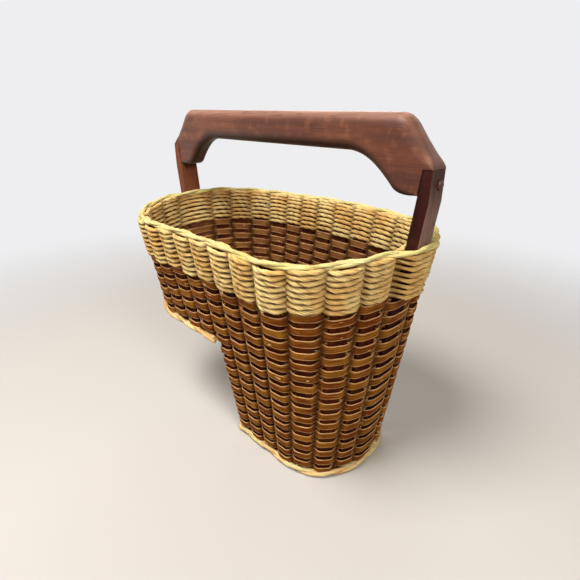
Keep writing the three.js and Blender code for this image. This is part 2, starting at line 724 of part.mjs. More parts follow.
add("leg_post", post(LEG, LEG_WALL_FOOT), POST_WOOD);
add("upper_post", post(UPPER, UPPER_WALL_FOOT), POST_WOOD).rotation.z = Math.PI;
add("leg_handle_pin", pin(0), BRONZE);
add("upper_handle_pin", pin(0), BRONZE).rotation.z = Math.PI;

// Grip: a level bar with bent knees, whose ends are cut off at a slant and rebated for the posts
function gripOutline() {
  const underside = GRIP_TOP - GRIP_DEPTH;
  const drop = underside - LIP_LEVEL;
  const inner = postInner(LIP_LEVEL) - FIT;
  const outer = postOuter(POST_TOP);
  const shelf = POST_TOP + FIT;
  const slant = outer - SHOULDER_LEAN - (GRIP_RISE - SHOULDER_RISE);
  const knee = new THREE.CubicBezierCurve(
    new THREE.Vector2(inner - KNEE_LENGTH, underside),
    new THREE.Vector2(inner - KNEE.start * KNEE_LENGTH, underside),
    new THREE.Vector2(inner - KNEE.middle * KNEE_LENGTH, underside - KNEE.sag * drop),
    new THREE.Vector2(inner - KNEE.end * KNEE_LENGTH, LIP_LEVEL + KNEE.endRise * drop),
  );
  const bend = knee.getPoints(KNEE.steps).map(({ x, y }, i) => ({
    x,
    z: y,
    edge: THREE.MathUtils.lerp(GRIP_EDGE, LIP_EDGE, i / KNEE.steps),
  }));
  const half = [
    ...bend,
    { x: inner - KNEE.lip * KNEE_LENGTH, z: LIP_LEVEL + KNEE.lipRise * drop, edge: LIP_EDGE },
    { x: inner - LIP_EDGE, z: LIP_LEVEL + FIT, edge: LIP_EDGE / 2 },
    { x: inner, z: LIP_LEVEL, edge: LAP_EDGE },
    { x: postInner(shelf) - FIT, z: shelf, edge: LAP_EDGE },
    { x: outer, z: shelf, edge: LAP_EDGE },
    { x: outer - SHOULDER_LEAN / 4, z: POST_TOP + SHOULDER_RISE / 2, edge: LIP_EDGE / 2 },
    { x: outer - SHOULDER_LEAN, z: POST_TOP + SHOULDER_RISE, edge: LIP_EDGE },
    { x: slant + GRIP_RISE / 2, z: GRIP_TOP - GRIP_RISE / 2, edge: GRIP_EDGE },
    { x: slant + SLANT_EASE, z: GRIP_TOP - SLANT_EASE - SLANT_DROP / 4, edge: GRIP_EDGE },
    { x: slant, z: GRIP_TOP - SLANT_DROP - SLANT_EASE / 4, edge: GRIP_EDGE },
    { x: slant - SLANT_EASE, z: GRIP_TOP - SLANT_DROP / 4, edge: GRIP_EDGE },
    { x: slant - 2 * SLANT_EASE, z: GRIP_TOP, edge: GRIP_EDGE },
  ];
  const mirrored = half.map((point) => ({ ...point, x: -point.x })).reverse();
  return [...half, ...mirrored];
}

let grip = toSolid(plank(gripOutline(), POST_WIDTH));
for (const turn of [0, Math.PI]) grip = grip.subtract(toSolid(pin(FIT).rotateZ(turn)));
add("grip", toGeometry(grip), HARDWOOD);

export default basket;
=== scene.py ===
# Stair basket, dressed: reed and cord woven strand by strand round the slats,
# laid ropes and a shaped wooden handle.
# Metres, +Z up, +X towards the leg, the same frame as the solids.
import math
import bmesh
import bpy
import numpy as np
from mathutils import Matrix, Vector


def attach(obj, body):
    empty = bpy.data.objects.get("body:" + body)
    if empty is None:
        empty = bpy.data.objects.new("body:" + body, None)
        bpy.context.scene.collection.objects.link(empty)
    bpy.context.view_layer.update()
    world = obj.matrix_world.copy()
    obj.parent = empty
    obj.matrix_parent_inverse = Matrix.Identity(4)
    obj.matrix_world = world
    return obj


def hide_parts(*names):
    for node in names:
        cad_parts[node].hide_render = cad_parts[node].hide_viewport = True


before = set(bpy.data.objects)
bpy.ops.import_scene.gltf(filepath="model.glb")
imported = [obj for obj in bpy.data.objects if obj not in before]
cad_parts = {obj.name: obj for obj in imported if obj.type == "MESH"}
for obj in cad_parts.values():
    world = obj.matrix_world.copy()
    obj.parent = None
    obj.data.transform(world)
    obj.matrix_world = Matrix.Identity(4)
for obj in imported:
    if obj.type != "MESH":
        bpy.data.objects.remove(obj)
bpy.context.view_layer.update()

MM = 0.001

# Sizes of the basket, in millimetres, on the middle of the wall
STEP = 185
WEAVE_TOP = 359
BAND_FOOT = 300
RIM_LENGTH = 478.5
RIM_WIDTH = 308
LEG_LENGTH = 193
LEG_WIDTH = 180
UPPER_LENGTH = 225.5
END_ROUND = 133
ROUNDNESS = 2.25
END_RISE = 7  # lift of the rim at a post
END_DIP = 3.5  # and its dip beyond, before it runs level
DIP_AT = 0.6  # places on the quarter from a post to the step's corner
LEVEL_AT = 0.9
RISER_FACE = -3.5
RISER_CORNER = 9
RISER_SINK = 0.042  # how much closer the riser's rows lie than the leg's
WALL = 16
LEG_SLATS = 6
UPPER_SLATS = 7
RISER_SLATS = 5
POST_COLUMN = 70
CORNER_SLAT = 15.5
RIB = 3.5
FLOOR = 7.1
FIT = 0.3  # clearance between neighbours

# Ropes
RIM_ROPE = 9
RIM_ROPE_SET = 3.5
RIM_ROPE_GAP = 0.5
RIM_SWING = 0.8  # share of a post's column in which the rope swings to pass the post
FOOT_ROPE = 9.5
FOOT_ROPE_SET = 4.5
FOOT_ROPE_FULL = 11.5  # the loose fibres lie fuller than the core
FOOT_ROPE_OUT = 3.3
FOOT_CORNER = 10
STRAND = 0.62  # a strand's share of its rope
RIM_STEPS = 14  # guide points of the rim's path for each column
ROPE_STEP = 4

# Handle
POST_WIDTH = 31
POST_THICKNESS = 16
TANG_THICKNESS = 6
POST_SET = 7
POST_LEAN = 0.12
POST_EDGE = 1.5
POST_UPRIGHT = 36
POST_TOP = 461
UPPER_POST_WIDTH = 35  # this post is fuller than its solid
LIP = 432
LOW_LIP = 427  # the knee at the upper end hangs a little lower
GRIP_TOP = 519
GRIP_DEPTH = 45
GRIP_EDGE = 13
LIP_EDGE = 0.6
EDGE_SPREAD = 1.3  # the rounding reaches further into the grip's outline than over its sides
PIN_LEVEL = 444
PIN_SIDE = 4
PIN_SHANK = 4.5
PIN_DEPTH = 32
PIN_HEAD = 11.8
PIN_DOME = 3.4

# Curves of the grip: steps back from the post's face, steps down, and the rounding there
KNEE = ((104, 0, GRIP_EDGE), (80, 2, 12), (62, 12, 10))
TOE = ((36, -4, 8), (29.5, 2, 8), (17, 2.4, 5), (4, 0.4, 3))
SHOULDER = ((0, -1.8, 1.6), (1, -6.5, 5), (4, -11, 8), (8.9, -16.5, 9.5))
SLANT = ((20, -31, 12),)
TOP_CORNER = ((31, 12, GRIP_EDGE), (41, 0, GRIP_EDGE), (53, 0, GRIP_EDGE))

# Sizes of the weave
REED_HEIGHT = 11.8
REED_THICKNESS = 1.25
REED_OUT = 6.8  # how far a strand's middle swings to each face
REED_IN = 4.2
REED_CORNER = 0.6
FLOOR_REED = 1.7
FLOOR_TUCK = 1.5  # how far the floor's reed reaches over the foot rope
FLOOR_FLAT = (2, 16)  # stretch before its end in which a reed comes to lie level
BESIDE_RISER = 9  # up to here the upper floor's rows end at the wall
ROW = 9.8
FLOOR_REED_WIDTH = 1.12 * ROW
LEG_ROWS = 19
UPPER_ROWS = 11
CORD = 6.8
CORD_OUT = 8
CORD_IN = 5.6
CORD_ROWS = 16
CORD_FOOT = 303
CORD_CROWDING = 0.06  # how much the last rows are packed under the rim
CORD_TURNS = 28  # twist of a cord in one round
POST_SWING = 0.24  # share of a column in which a cord swings out to a post
RIM_TUCK = 5  # how far the last cord is pushed up behind the rim rope
REED_SAG = 1
CORD_SAG = 2.8
STEPS = 12  # guide points for each column of the weave

UPPER_FOOT = STEP + FOOT_ROPE + FIT
LEG_FOOT = FOOT_ROPE + FIT
RISER = RISER_FACE + WALL / 2
RISER_ROPE = RISER_FACE + FOOT_ROPE / 2
RING_COLUMNS = 2 * (LEG_SLATS + UPPER_SLATS + 2)  # with two posts and two corner slats
LEG_COLUMNS = 2 * LEG_SLATS + RISER_SLATS + 3  # with one post and two corner slats


def smooth(value, low, high):
    """Runs from 0 at low to 1 at high, with soft ends."""
    share = np.clip((value - low) / (high - low), 0, 1)
    return share * share * (3 - 2 * share)


# Plan of the wall


def wall(z, leg):
    """Half width, end and rounding of the wall at one height, on the leg's half or the other."""
    half = (LEG_WIDTH + (RIM_WIDTH - LEG_WIDTH) * z / WEAVE_TOP) / 2
    if leg:
        end = LEG_LENGTH + (RIM_LENGTH / 2 - LEG_LENGTH) * z / WEAVE_TOP
    else:
        end = UPPER_LENGTH + (RIM_LENGTH / 2 - UPPER_LENGTH) * (z - STEP) / (WEAVE_TOP - STEP)
    return half, end, END_ROUND * half / (RIM_WIDTH / 2)


def rise(z, t):
    """How far the weave is lifted at share t of a quarter, counted from the post."""
    share = np.clip((z - UPPER_FOOT) / (BAND_FOOT - UPPER_FOOT), 0, 1)
    fall = (1 - np.cos(math.pi * t / DIP_AT)) / 2
    end = END_RISE - (END_RISE + END_DIP) * fall
    side = -END_DIP * (1 - smooth(t, DIP_AT, LEVEL_AT))
    return share * np.where(t > DIP_AT, side, end)


def quarter(z, leg):
    """A quarter of the wall from post to corner: points with their lift, shares of its length, the length."""
    half, end, rounding = wall(z, leg)
    turn = np.linspace(0, math.pi / 2, 97)
    x = end - rounding + rounding * np.maximum(np.cos(turn), 0) ** (2 / ROUNDNESS)
    y = half * np.sin(turn) ** (2 / ROUNDNESS)
    straight = np.linspace(end - rounding, CORNER_SLAT if leg else -CORNER_SLAT, 12)[1:]
    points = np.stack([np.append(x, straight), np.append(y, np.full(len(straight), half))], 1)
    length = np.append(0, np.cumsum(np.linalg.norm(np.diff(points, axis=0), axis=1)))
    share = length / length[-1]
    return np.column_stack([points, rise(z, share)]), share, length[-1]


POST_SHARE = POST_COLUMN / 2 / quarter(WEAVE_TOP, True)[2]


def columns_at(share, slats):
    """Column numbers along a quarter: post, groove beside it, slats, corner."""
    pitch = (1 - POST_SHARE) / (slats + 0.5)
    places = [0, POST_SHARE] + [POST_SHARE + pitch * (k + 0.5) for k in range(slats)] + [1]
    return np.interp(share, places, [0, 0.5] + [k + 1 for k in range(slats + 1)])


def both_sides(points, column, total):
    """Adds the near half to the far half of a ring."""
    near = points[::-1][1:] * [1, -1, 1]
    return np.concatenate([points, near]), np.concatenate([column, (total - column)[::-1][1:]]), total


def full_ring(z):
    """The ring above the step: its columns anticlockwise from the leg's post."""
    leg, leg_share, _ = quarter(z, True)
    upper, upper_share, _ = quarter(z, False)
    upper = (upper * [-1, 1, 1])[::-1][1:]
    upper_column = (RING_COLUMNS / 2 - columns_at(upper_share, UPPER_SLATS))[::-1][1:]
    column = np.concatenate([columns_at(leg_share, LEG_SLATS), upper_column])
    return both_sides(np.concatenate([leg, upper]), column, RING_COLUMNS)


def leg_ring(z):
    """The ring round the leg: its columns, and those of the riser between the two corners."""
    leg, leg_share, _ = quarter(z, True)
    half = wall(z, True)[0]
    turn = np.linspace(0, math.pi / 2, 8)
    sink = (LEG_FOOT - z) * RISER_SINK
    bend = np.stack([RISER + RISER_CORNER * (1 - np.sin(turn)), half - RISER_CORNER * (1 - np.cos(turn)),
                     sink * np.sin(turn)], 1)
    back = np.linspace(half - RISER_CORNER, 0, 14)[1:]
    flat = np.full(len(back), 1)
    riser = np.concatenate([bend, np.stack([flat * RISER, back, flat * sink], 1)])
    run = np.concatenate([leg[-1:], riser])[:, :2]
    run = np.cumsum(np.linalg.norm(np.diff(run, axis=0), axis=1))
    pitch = 2 * half / (RISER_SLATS + 1)
    corner = LEG_SLATS + 1
    middle = (RISER_SLATS + 1) // 2
    marks = [0] + [run[-1] - pitch * (middle - 1 - k) for k in range(middle)]
    riser_column = np.interp(run, marks, [corner + k for k in range(middle + 1)])
    column = np.concatenate([columns_at(leg_share, LEG_SLATS), riser_column])
    return both_sides(np.concatenate([leg, riser]), column, LEG_COLUMNS)


def loop_at(z, ring, steps=STEPS):
    """A loop of guide points at one height, the columns they stand in and the wall's outward directions."""
    def sample(level):
        points, column, total = ring(level)
        at = np.arange(total * steps) / steps
        return np.stack([np.interp(at, column, points[:, i]) for i in range(3)], 1), at
    here, at = sample(z)
    run = np.roll(here, -1, 0) - np.roll(here, 1, 0)
    out = np.stack([run[:, 1], -run[:, 0]], 1)
    out /= np.linalg.norm(out, axis=1)[:, None]
    lean = ((sample(z + 2)[0] - sample(z - 2)[0])[:, :2] * out).sum(1) / 4
    out = np.column_stack([out, -lean])
    out /= np.linalg.norm(out, axis=1)[:, None]
    return here + [0, 0, z], at, out


def level_out(out):
    """The outward directions without their slope."""
    out = out * [1, 1, 0]
    return out / np.linalg.norm(out, axis=1)[:, None]


def post_axis(z):
    """How far out the middle of a leaning post stands at one height."""
    return RIM_LENGTH / 2 + POST_SET + POST_LEAN * (z - WEAVE_TOP)


def post_outer(z):
    """A post's outer face, which leaves the lean near the top and stands upright."""
    return post_axis(min(z, POST_TOP - POST_UPRIGHT)) + POST_THICKNESS / 2


def post_inner(z):
    return post_axis(z) - POST_THICKNESS / 2


# Guides: edges whose points carry what the strands need


class Guide:
    """Runs of points along which strands are grown."""

    def __init__(self, name):
        self.name = name
        self.points = []
        self.edges = []
        self.values = {}

    def run(self, points, closed, **values):
        first = len(self.points)
        count = len(points)
        self.points.extend(points * MM)
        self.edges.extend((first + i, first + i + 1) for i in range(count - 1))
        length = np.append(0, np.cumsum(np.linalg.norm(np.diff(points, axis=0), axis=1))) * MM
        values["circuit"] = np.column_stack([length, length * 0, length * 0])
        if closed:
            self.edges.append((first + count - 1, first))
            whole = length[-1] + np.linalg.norm(points[0] - points[-1]) * MM
            turn = length / whole * 2 * math.pi
            circle = np.column_stack([np.cos(turn), np.sin(turn), turn * 0])
            values["circuit"] = circle * whole / (2 * math.pi)
        for key, value in values.items():
            value = np.asarray(value, float)
            if value.ndim == 0:
                value = np.full(count, value)
            self.values.setdefault(key, []).append(value)

    def make(self):
        mesh = bpy.data.meshes.new(self.name)
        mesh.from_pydata([tuple(p) for p in self.points], self.edges, [])
        for key, parts in self.values.items():
            value = np.concatenate(parts).astype(np.float32)
            vector = value.ndim == 2
            attribute = mesh.attributes.new(key, "FLOAT_VECTOR" if vector else "FLOAT", "POINT")
            attribute.data.foreach_set("vector" if vector else "value", value.ravel())
        piece = bpy.data.objects.new(self.name, mesh)
        bpy.context.scene.collection.objects.link(piece)
        return piece


# Geometry node trees

SHARP_BEND = 0.74  # radians, past which an edge of a strand stays crisp


def set_input(tree, socket, value):
    if isinstance(value, bpy.types.NodeSocket):
        tree.links.new(value, socket)
    else:
        socket.default_value = value


def put(tree, kind, inputs=None, **settings):
    node = tree.nodes.new(kind)
    for key, value in settings.items():
        setattr(node, key, value)
    for key, value in (inputs or {}).items():
        set_input(tree, node.inputs[key], value)
    return node


def math_node(tree, operation, *values):
    return put(tree, "ShaderNodeMath", dict(enumerate(values)), operation=operation).outputs[0]


def times(tree, first, second):
    return math_node(tree, "MULTIPLY", first, second)


def plus(tree, first, second):
    return math_node(tree, "ADD", first, second)


def vector_node(tree, operation, first, second):
    key = "Scale" if operation == "SCALE" else 1
    return put(tree, "ShaderNodeVectorMath", {0: first, key: second}, operation=operation).outputs[0]


def xyz(tree, x=0.0, y=0.0, z=0.0):
    return put(tree, "ShaderNodeCombineXYZ", {0: x, 1: y, 2: z}).outputs[0]


def noise(tree, vector, scale, detail=2.0, rough=0.5, own=0.0):
    """Noise at a place, with a number that tells strands apart."""
    inputs = {"Vector": vector, "W": own, "Scale": scale, "Detail": detail, "Roughness": rough}
    return put(tree, "ShaderNodeTexNoise", inputs, noise_dimensions="4D").outputs[0]


def parts(tree, vector):
    """The x, y and z of a vector."""
    return put(tree, "ShaderNodeSeparateXYZ", {0: vector}).outputs


def attribute_in(tree, name, kind="FLOAT"):
    return put(tree, "GeometryNodeInputNamedAttribute", {"Name": name}, data_type=kind).outputs[0]


def keep(tree, geometry, name, value):
    inputs = {"Geometry": geometry, "Name": name, "Value": value}
    return put(tree, "GeometryNodeStoreNamedAttribute", inputs).outputs[0]


def new_tree(name, inputs):
    tree = bpy.data.node_groups.new(name, "GeometryNodeTree")
    tree.interface.new_socket("Guide", in_out="INPUT", socket_type="NodeSocketGeometry")
    for label, value in inputs.items():
        kind = "NodeSocketInt" if isinstance(value, int) else "NodeSocketFloat"
        tree.interface.new_socket(label, in_out="INPUT", socket_type=kind).default_value = value
    tree.interface.new_socket("Finish", in_out="INPUT", socket_type="NodeSocketMaterial")
    tree.interface.new_socket("Strands", in_out="OUTPUT", socket_type="NodeSocketGeometry")
    entry = tree.nodes.new("NodeGroupInput")
    return tree, {s.name: s for s in entry.outputs if s.name}


def close_tree(tree, geometry, finish):
    """Smooths the strands except at the edges of flat ones, and gives them their finish."""
    even = put(tree, "GeometryNodeSetShadeSmooth", {0: geometry})
    bend = put(tree, "GeometryNodeInputMeshEdgeAngle").outputs[0]
    sharp = math_node(tree, "GREATER_THAN", bend, SHARP_BEND)
    edges = {0: even.outputs[0], "Selection": sharp, "Shade Smooth": False}
    crisp = put(tree, "GeometryNodeSetShadeSmooth", edges, domain="EDGE")
    solid = put(tree, "GeometryNodeRealizeInstances", {0: crisp.outputs[0]})
    painted = put(tree, "GeometryNodeSetMaterial", {"Geometry": solid.outputs[0], "Material": finish})
    leave = tree.nodes.new("NodeGroupOutput")
    tree.links.new(painted.outputs[0], leave.inputs[0])
    return tree


def section_marks(tree, section, thickness, width):
    """Stores where each point of a section lies: outward and across, from -1 to 1."""
    place = parts(tree, put(tree, "GeometryNodeInputPosition").outputs[0])
    deep = math_node(tree, "DIVIDE", place[0], times(tree, thickness, 0.5))
    across = math_node(tree, "DIVIDE", place[1], times(tree, width, 0.5))
    return keep(tree, keep(tree, section, "deep", deep), "across", across)


def flat_section(tree, given):
    """Section of a reed: thickness outward, width across, with eased corners."""
    size = {"Width": given["Thickness"], "Height": given["Width"]}
    plain = put(tree, "GeometryNodeCurvePrimitiveQuadrilateral", size)
    eased = {"Curve": plain.outputs[0], "Count": 1, "Radius": given["Corner"]}
    section = put(tree, "GeometryNodeFilletCurve", eased, mode="POLY").outputs[0]
    return section_marks(tree, section, given["Thickness"], given["Width"])


def round_section(tree, given):
    """Section of a twisted cord: round, with a lobe for each yarn."""
    radius = times(tree, given["Thickness"], 0.5)
    circle = put(tree, "GeometryNodeCurvePrimitiveCircle", {"Resolution": 12, "Radius": radius})
    section = section_marks(tree, circle.outputs[0], given["Thickness"], given["Thickness"])
    place = put(tree, "GeometryNodeInputPosition").outputs[0]
    apart = parts(tree, place)
    turn = math_node(tree, "ARCTAN2", apart[1], apart[0])
    lobe = times(tree, math_node(tree, "COSINE", times(tree, turn, 3.0)), given["Lobe"])
    inputs = {"Geometry": section, "Offset": vector_node(tree, "SCALE", place, lobe)}
    return put(tree, "GeometryNodeSetPosition", inputs).outputs[0]


def sweep(tree, given, curve, out, section, size):
    """Sweeps a section along curves whose outward direction is known, turning it with the twist."""
    normals = {"Curve": curve, "Normal": out}
    turned = put(tree, "GeometryNodeSetCurveNormal", normals, mode="FREE").outputs[0]
    tilt = times(tree, attribute_in(tree, "twist"), 2 * math.pi)
    turned = put(tree, "GeometryNodeSetCurveTilt", {"Curve": turned, "Tilt": tilt}).outputs[0]
    inputs = {0: turned, 1: section(tree, given), "Scale": size, "Fill Caps": True}
    strands = put(tree, "GeometryNodeCurveToMesh", inputs)
    return close_tree(tree, strands.outputs[0], given["Finish"])


def weave_tree(name, section, **extra):
    """Strands that pass over one column and under the next."""
    tree, given = new_tree(name, {"Crest": 0.6, "Pinch": 0.0, "Sway": 0.0, "Thickness": 0.002,
                                  "Uneven": 0.0, "Seed": 0.0, **extra})
    out = attribute_in(tree, "out", "FLOAT_VECTOR")
    wave = math_node(tree, "COSINE", times(tree, attribute_in(tree, "phase"), math.pi))
    low = times(tree, given["Crest"], -1.0)
    flat = put(tree, "ShaderNodeMapRange", {0: wave, 1: low, 2: given["Crest"], 3: -1.0, 4: 1.0},
               interpolation_type="SMOOTHSTEP").outputs[0]
    away = plus(tree, times(tree, flat, attribute_in(tree, "reach")), attribute_in(tree, "set"))
    place = put(tree, "GeometryNodeInputPosition").outputs[0]
    own = plus(tree, times(tree, attribute_in(tree, "row"), 7.31), given["Seed"])
    drift = math_node(tree, "SUBTRACT", noise(tree, place, 16.0, 2.0, own=own), 0.5)
    sag = times(tree, flat, attribute_in(tree, "sag"))
    shift = xyz(tree, z=math_node(tree, "SUBTRACT", times(tree, drift, given["Sway"]), sag))
    move = vector_node(tree, "ADD", vector_node(tree, "SCALE", out, away), shift)
    moved = put(tree, "GeometryNodeSetPosition", {"Geometry": given["Guide"], "Offset": move})
    curve = put(tree, "GeometryNodeMeshToCurve", {0: moved.outputs[0]}).outputs[0]
    curve = keep(tree, curve, "face", flat)
    crossing = math_node(tree, "SUBTRACT", 1.0, math_node(tree, "ABSOLUTE", flat))
    thin = math_node(tree, "SUBTRACT", 1.0, times(tree, given["Pinch"], crossing))
    uneven = math_node(tree, "SUBTRACT", noise(tree, place, 60.0, 1.0, own=own), 0.5)
    size = plus(tree, thin, times(tree, uneven, given["Uneven"]))
    return sweep(tree, given, curve, out, section, size)


def rope_tree():
    """Strands laid round each other along a guide."""
    tree, given = new_tree("laid rope", {"Strands": 2, "Lay": 0.002, "Thickness": 0.006, "Lobe": 0.06,
                                         "Uneven": 0.1, "Sway": 0.0005, "Seed": 0.0})
    out = attribute_in(tree, "out", "FLOAT_VECTOR")
    curve = put(tree, "GeometryNodeMeshToCurve", {0: given["Guide"]}).outputs[0]
    inputs = {"Geometry": curve, "Amount": given["Strands"]}
    copies = put(tree, "GeometryNodeDuplicateElements", inputs, domain="SPLINE")
    number = copies.outputs["Duplicate Index"]
    part = math_node(tree, "DIVIDE", number, given["Strands"])
    turn = times(tree, plus(tree, attribute_in(tree, "turn"), part), 2 * math.pi)
    place = put(tree, "GeometryNodeInputPosition").outputs[0]
    own = plus(tree, times(tree, number, 3.7), given["Seed"])
    drift = math_node(tree, "SUBTRACT", noise(tree, place, 22.0, 2.0, own=own), 0.5)
    sway = times(tree, drift, given["Sway"])
    side = plus(tree, times(tree, math_node(tree, "COSINE", turn), given["Lay"]), sway)
    lift = plus(tree, times(tree, math_node(tree, "SINE", turn), given["Lay"]), sway)
    move = vector_node(tree, "ADD", vector_node(tree, "SCALE", out, side), xyz(tree, z=lift))
    moved = put(tree, "GeometryNodeSetPosition", {"Geometry": copies.outputs[0], "Offset": move})
    strand = keep(tree, moved.outputs[0], "row", plus(tree, attribute_in(tree, "row"), number))
    uneven = math_node(tree, "SUBTRACT", noise(tree, place, 45.0, 2.0, own=own), 0.5)
    size = plus(tree, 1.0, times(tree, uneven, given["Uneven"]))
    return sweep(tree, given, strand, out, round_section, size)


def grow(guide, tree, finish, **inputs):
    """Runs a tree on a guide and keeps the result as a plain mesh."""
    piece = guide.make()
    modifier = piece.modifiers.new("strands", "NODES")
    modifier.node_group = tree
    inputs["Finish"] = finish
    for item in tree.interface.items_tree:
        if item.in_out == "INPUT" and item.name in inputs:
            modifier[item.identifier] = inputs[item.name]
    bpy.context.view_layer.update()
    evaluated = piece.evaluated_get(bpy.context.evaluated_depsgraph_get())
    mesh = bpy.data.meshes.new_from_object(evaluated)
    piece.modifiers.remove(modifier)
    piece.data = mesh
    mesh.name = guide.name
    return piece


def dress(piece, slot, *nodes):
    """Puts a piece in the place of the solids it stands for."""
    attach(piece, "root")
    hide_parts(*nodes)
    return piece


# Finishes

ALONG_X = 0
ALONG_Z = 2
FIBRE_STRETCH = 22.0
FOOT_TONE_TO = 0.2  # heights in metres up to which a rope has its tone at the foot
RIM_TONE_FROM = 0.35  # and from which it has its tone at the rim
REFLECTION_FADES_IN = (0.33, 0.36)  # heights over which a painted reflection fades in on the posts' outer faces
REFLECTION_FADES_OUT = (0.395, 0.455)  # and fades out again, leaving painted shadow under the grip's shoulder


def linear(red, green, blue):
    """A colour given as it looks on screen, 0 to 255, as the shader takes it."""
    def channel(value):
        value /= 255
        return value / 12.92 if value <= 0.04045 else ((value + 0.055) / 1.055) ** 2.4
    return (channel(red), channel(green), channel(blue), 1)


def new_finish(name, roughness, specular):
    material = bpy.data.materials.new(name)
    material.use_nodes = True
    tree = material.node_tree
    shader = tree.nodes["Principled BSDF"]
    shader.inputs["Roughness"].default_value = roughness
    shader.inputs["Specular IOR Level"].default_value = specular
    return material, tree, shader


def mix(tree, share, first, second):
    node = put(tree, "ShaderNodeMix", {"Factor": share}, data_type="RGBA")
    set_input(tree, node.inputs[6], first)
    set_input(tree, node.inputs[7], second)
    return node.outputs[2]


def span(tree, value, low, high, start=0.0, end=1.0, eased=True):
    kind = "SMOOTHSTEP" if eased else "LINEAR"
    return put(tree, "ShaderNodeMapRange", {0: value, 1: low, 2: high, 3: start, 4: end},
               interpolation_type=kind).outputs[0]


def read(tree, name, output="Fac"):
    return put(tree, "ShaderNodeAttribute", attribute_name=name).outputs[output]


def object_place(tree):
    return put(tree, "ShaderNodeTexCoord").outputs["Object"]


def facing_parts(tree):
    """Which way the surface faces, in x, y and z."""
    return parts(tree, put(tree, "ShaderNodeTexCoord").outputs["Normal"])


def paint(tree, shader, color, height, strength, distance):
    """Gives a shader its colour and its fine relief."""
    tree.links.new(color, shader.inputs["Base Color"])
    relief = put(tree, "ShaderNodeBump", {"Height": height, "Strength": strength, "Distance": distance})
    tree.links.new(relief.outputs[0], shader.inputs["Normal"])


def groove(tree, depth):
    """How much a strand lies in the shade of the groove between two columns."""
    return span(tree, math_node(tree, "ABSOLUTE", read(tree, "face")), 0.9, 0.1, 0.0, depth)


def along_strand(tree, circuit, across, stretch, spread):
    """A place for patterns that run along a strand: drawn out along it, narrow across it."""
    drawn = vector_node(tree, "SCALE", circuit, stretch)
    return vector_node(tree, "ADD", drawn, xyz(tree, z=times(tree, across, spread)))


def reed_finish(name, body, warm, light, edge, dark, inner):
    """Dyed flat reed: streaks along the strand, tones that change by stretches, paler edges and back."""
    material, tree, shader = new_finish(name, 0.68, 0.1)
    circuit = read(tree, "circuit", "Vector")
    across = read(tree, "across")
    row = read(tree, "row")
    grain = along_strand(tree, circuit, across, 16.0, 1.7)
    streak = noise(tree, grain, 2.6, 4.0, 0.65, times(tree, row, 5.3))
    tone = noise(tree, circuit, 18.0, 1.0, own=times(tree, row, 9.1))
    color = mix(tree, span(tree, tone, 0.36, 0.64), body, warm)
    color = mix(tree, span(tree, streak, 0.45, 0.62, 0.0, 0.6), color, dark)
    color = mix(tree, span(tree, streak, 0.47, 0.33, 0.0, 0.55), color, light)
    color = mix(tree, span(tree, read(tree, "deep"), -0.3, -0.8, 0.0, 0.55), color, inner)
    rim = span(tree, math_node(tree, "ABSOLUTE", across), 0.68, 0.82)
    worn = span(tree, noise(tree, object_place(tree), 55.0, 3.0), 0.3, 0.62, 0.3, 0.85)
    color = mix(tree, times(tree, rim, worn), color, edge)
    scrape = along_strand(tree, circuit, across, 55.0, 1.6)
    bare = span(tree, noise(tree, scrape, 1.0, 1.0, own=times(tree, row, 3.9)), 0.71, 0.73)
    color = mix(tree, bare, color, edge)
    color = mix(tree, groove(tree, 0.7), color, dark)
    paint(tree, shader, color, streak, 0.35, 0.0006)
    return material


def fibre_finish(name, body, pale, dark, low=None):
    """Twisted fibre: fine strands wound round the cord, painted shade on the undersides and, on the cords, in
    the grooves, another tone low on the basket.
    """
    material, tree, shader = new_finish(name, 0.85, 0.1)
    circuit = parts(tree, read(tree, "circuit", "Vector"))
    deep = times(tree, read(tree, "deep"), 3.0)
    across = times(tree, read(tree, "across"), 3.0)
    own = plus(tree, times(tree, circuit[1], FIBRE_STRETCH), times(tree, read(tree, "row"), 7.7))
    place = xyz(tree, deep, across, times(tree, circuit[0], FIBRE_STRETCH))
    fibre = noise(tree, place, 1.6, 5.0, 0.7, own)
    tone = noise(tree, object_place(tree), 26.0, 2.0)
    if low:
        height = parts(tree, object_place(tree))[2]
        body = mix(tree, span(tree, height, FOOT_TONE_TO, RIM_TONE_FROM), low, body)
    color = mix(tree, span(tree, tone, 0.35, 0.66), body, pale)
    color = mix(tree, span(tree, fibre, 0.47, 0.64, 0.0, 0.8), color, dark)
    # painted shade on the undersides
    color = mix(tree, span(tree, facing_parts(tree)[2], -0.15, -0.75, 0.0, 0.85), color, dark)
    if not low:
        color = mix(tree, groove(tree, 0.45), color, dark)
    paint(tree, shader, color, fibre, 0.7, 0.0012)
    return material


# Body, light and dark tone of each wood
SLAT_TONES = (linear(90, 36, 13), linear(112, 54, 24), linear(52, 18, 6))
GRIP_TONES = (linear(106, 54, 32), linear(148, 92, 62), linear(70, 32, 18))
POST_TONES = (linear(58, 20, 14), linear(84, 40, 31), linear(36, 11, 8))


def outward(tree):
    """How far a face looks towards the nearer end of the basket."""
    side = math_node(tree, "SIGN", parts(tree, object_place(tree))[0])
    return times(tree, facing_parts(tree)[0], side)


def post_reflection_and_tone(tree, color, figure):
    """Painted reflection makes the outer faces pale above the rim, with painted shadow of the grip above it.
    The upper post is lighter all over.
    """
    place = parts(tree, object_place(tree))
    # painted reflection on the outer faces, faded out higher up into painted shadow of the grip's shoulder
    painted_highlight = times(tree, span(tree, outward(tree), 0.6, 0.95), span(tree, place[2], *REFLECTION_FADES_OUT, 1.0, 0.15))
    painted_highlight = times(tree, painted_highlight, span(tree, place[2], *REFLECTION_FADES_IN))
    painted_highlight = times(tree, painted_highlight, span(tree, figure, 0.3, 0.7, 0.95, 0.55))
    color = mix(tree, painted_highlight, color, linear(164, 130, 118))
    return mix(tree, span(tree, place[0], 0.0, -0.1, 0.0, 0.7), color, linear(140, 84, 56))


